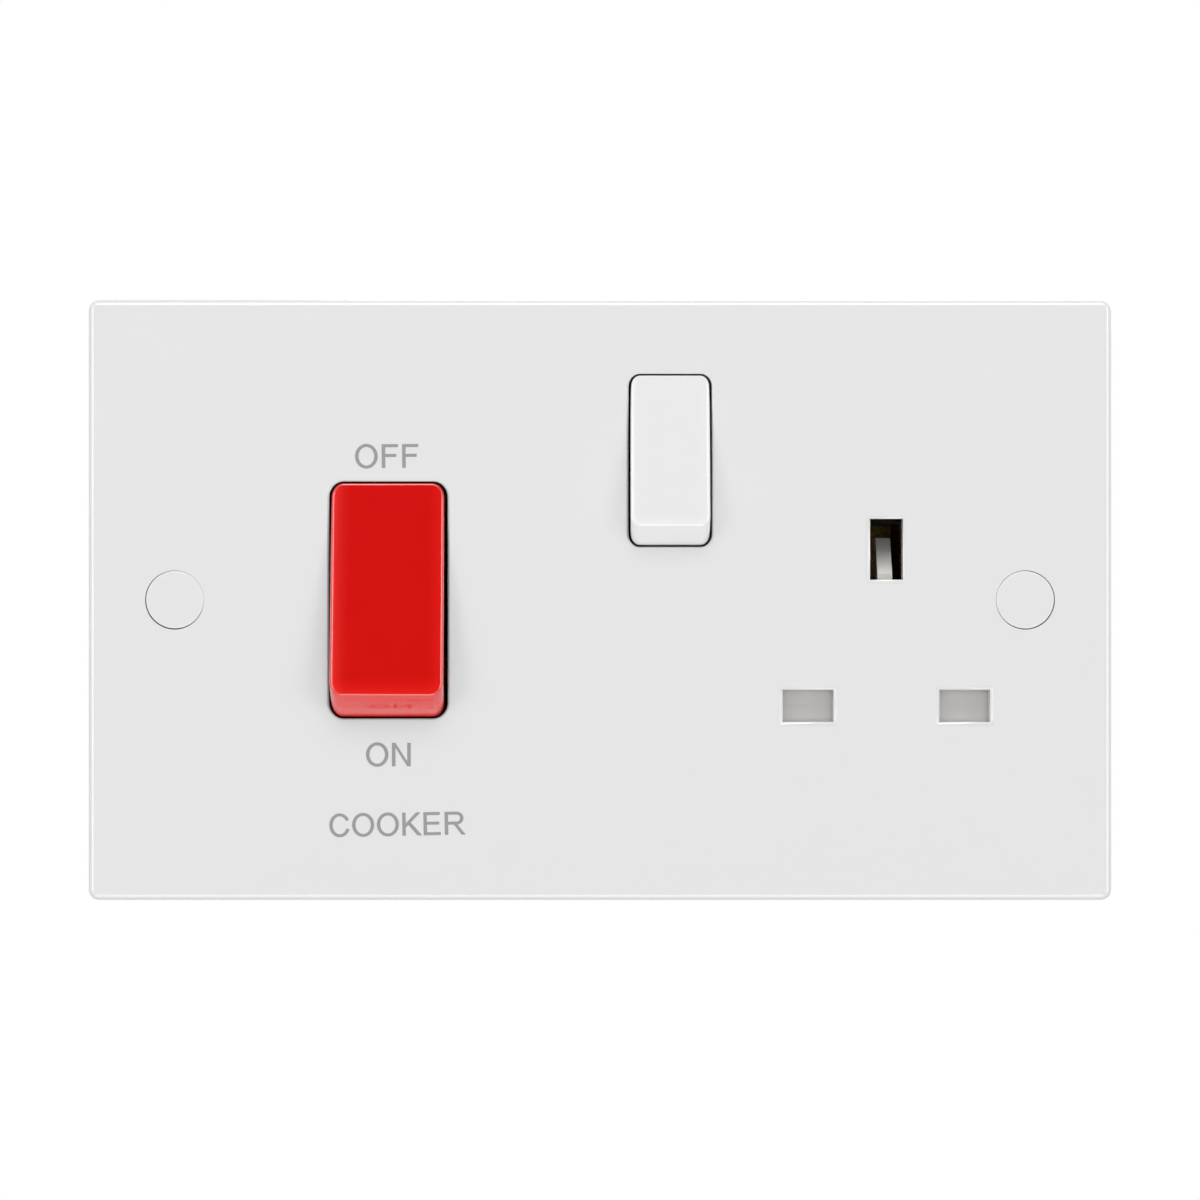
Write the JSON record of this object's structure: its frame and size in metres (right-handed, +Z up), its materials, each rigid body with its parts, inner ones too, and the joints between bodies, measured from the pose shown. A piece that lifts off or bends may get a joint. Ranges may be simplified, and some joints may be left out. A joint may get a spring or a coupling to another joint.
{
  "type": "cooker control unit",
  "caption": "White moulded cooker control unit: a red double-pole rocker switch and a switched 13 A socket outlet with shutters on a wall plate.",
  "frame": {"origin": "middle of the plate on the wall plane, halfway between the two fixing screws", "axes": "+X to the right as seen from the room, +Y into the wall, +Z up"},
  "size_m": [0.146, 0.0348, 0.086],
  "materials": {
    "white_moulding": "gloss moulded urea",
    "red_moulding": "gloss moulded urea",
    "shutter_grey": "satin moulding",
    "housing_moulding": "satin moulding",
    "brass": "stamped and machined brass",
    "copper": "stamped copper",
    "plated_steel": "zinc plate",
    "spring_steel": "drawn wire",
    "nylon": "natural nylon"
  },
  "bodies": {
    "unit": {"front_plate": "white_moulding", "left_screw_cap": "white_moulding", "right_screw_cap": "white_moulding", "rear_housing": "housing_moulding", "left_fixing_screw": "plated_steel", "right_fixing_screw": "plated_steel", "housing_screws": "plated_steel", "supply_line_terminal": "brass", "supply_neutral_terminal": "brass", "load_line_terminal": "brass", "load_neutral_terminal": "brass", "earth_terminal": "brass", "earth_contact": "brass", "line_contact": "brass", "neutral_contact": "brass", "switched_line_strap": "brass", "line_link": "brass", "neutral_link": "brass", "supply_line_clamp_screw": "plated_steel", "supply_neutral_clamp_screw": "plated_steel", "load_line_clamp_screw": "plated_steel", "load_neutral_clamp_screw": "plated_steel", "earth_clamp_screws": "plated_steel", "shutter_spring": "spring_steel"},
    "cooker_rocker": {"cooker_rocker": "red_moulding", "cooker_line_plunger": "nylon", "cooker_neutral_plunger": "nylon", "cooker_line_spring": "spring_steel", "cooker_neutral_spring": "spring_steel"},
    "cooker_bridges": {"cooker_line_bridge": "copper", "cooker_neutral_bridge": "copper"},
    "socket_rocker": {"socket_rocker": "white_moulding", "socket_plunger": "nylon", "socket_spring": "spring_steel"},
    "socket_bridge": {"socket_bridge": "copper"},
    "shutter": {"shutter": "shutter_grey"}
  },
  "joints": [
    {"name": "cooker_switch", "type": "hinge", "parent": "unit", "child": "cooker_rocker", "pos_m": [-0.03, -0.0005, 0], "axis": [1, 0, 0], "range_deg": [0, 17.3]},
    {"name": "cooker_contacts", "type": "hinge", "parent": "unit", "child": "cooker_bridges", "pos_m": [-0.03, 0.00998, 0], "axis": [1, 0, 0], "range_deg": [-16, 0]},
    {"name": "socket_switch", "type": "hinge", "parent": "unit", "child": "socket_rocker", "pos_m": [0.00995, -0.002, 0.0198], "axis": [1, 0, 0], "range_deg": [0, 19.6]},
    {"name": "socket_contact", "type": "hinge", "parent": "unit", "child": "socket_bridge", "pos_m": [0.00995, 0.00648, 0.0198], "axis": [1, 0, 0], "range_deg": [-16, 0]},
    {"name": "shutter_slide", "type": "slide", "parent": "unit", "child": "shutter", "axis": [0, 0, -1], "range_m": [0, 0.0058], "stiffness_N_per_m": 170, "springref_m": -0.006, "deforming": ["shutter_spring"]}
  ],
  "couplings": [
    {"joint": "cooker_contacts", "follows": "cooker_switch", "ratio": -0.9248},
    {"joint": "socket_contact", "follows": "socket_switch", "ratio": -0.8163}
  ]
}
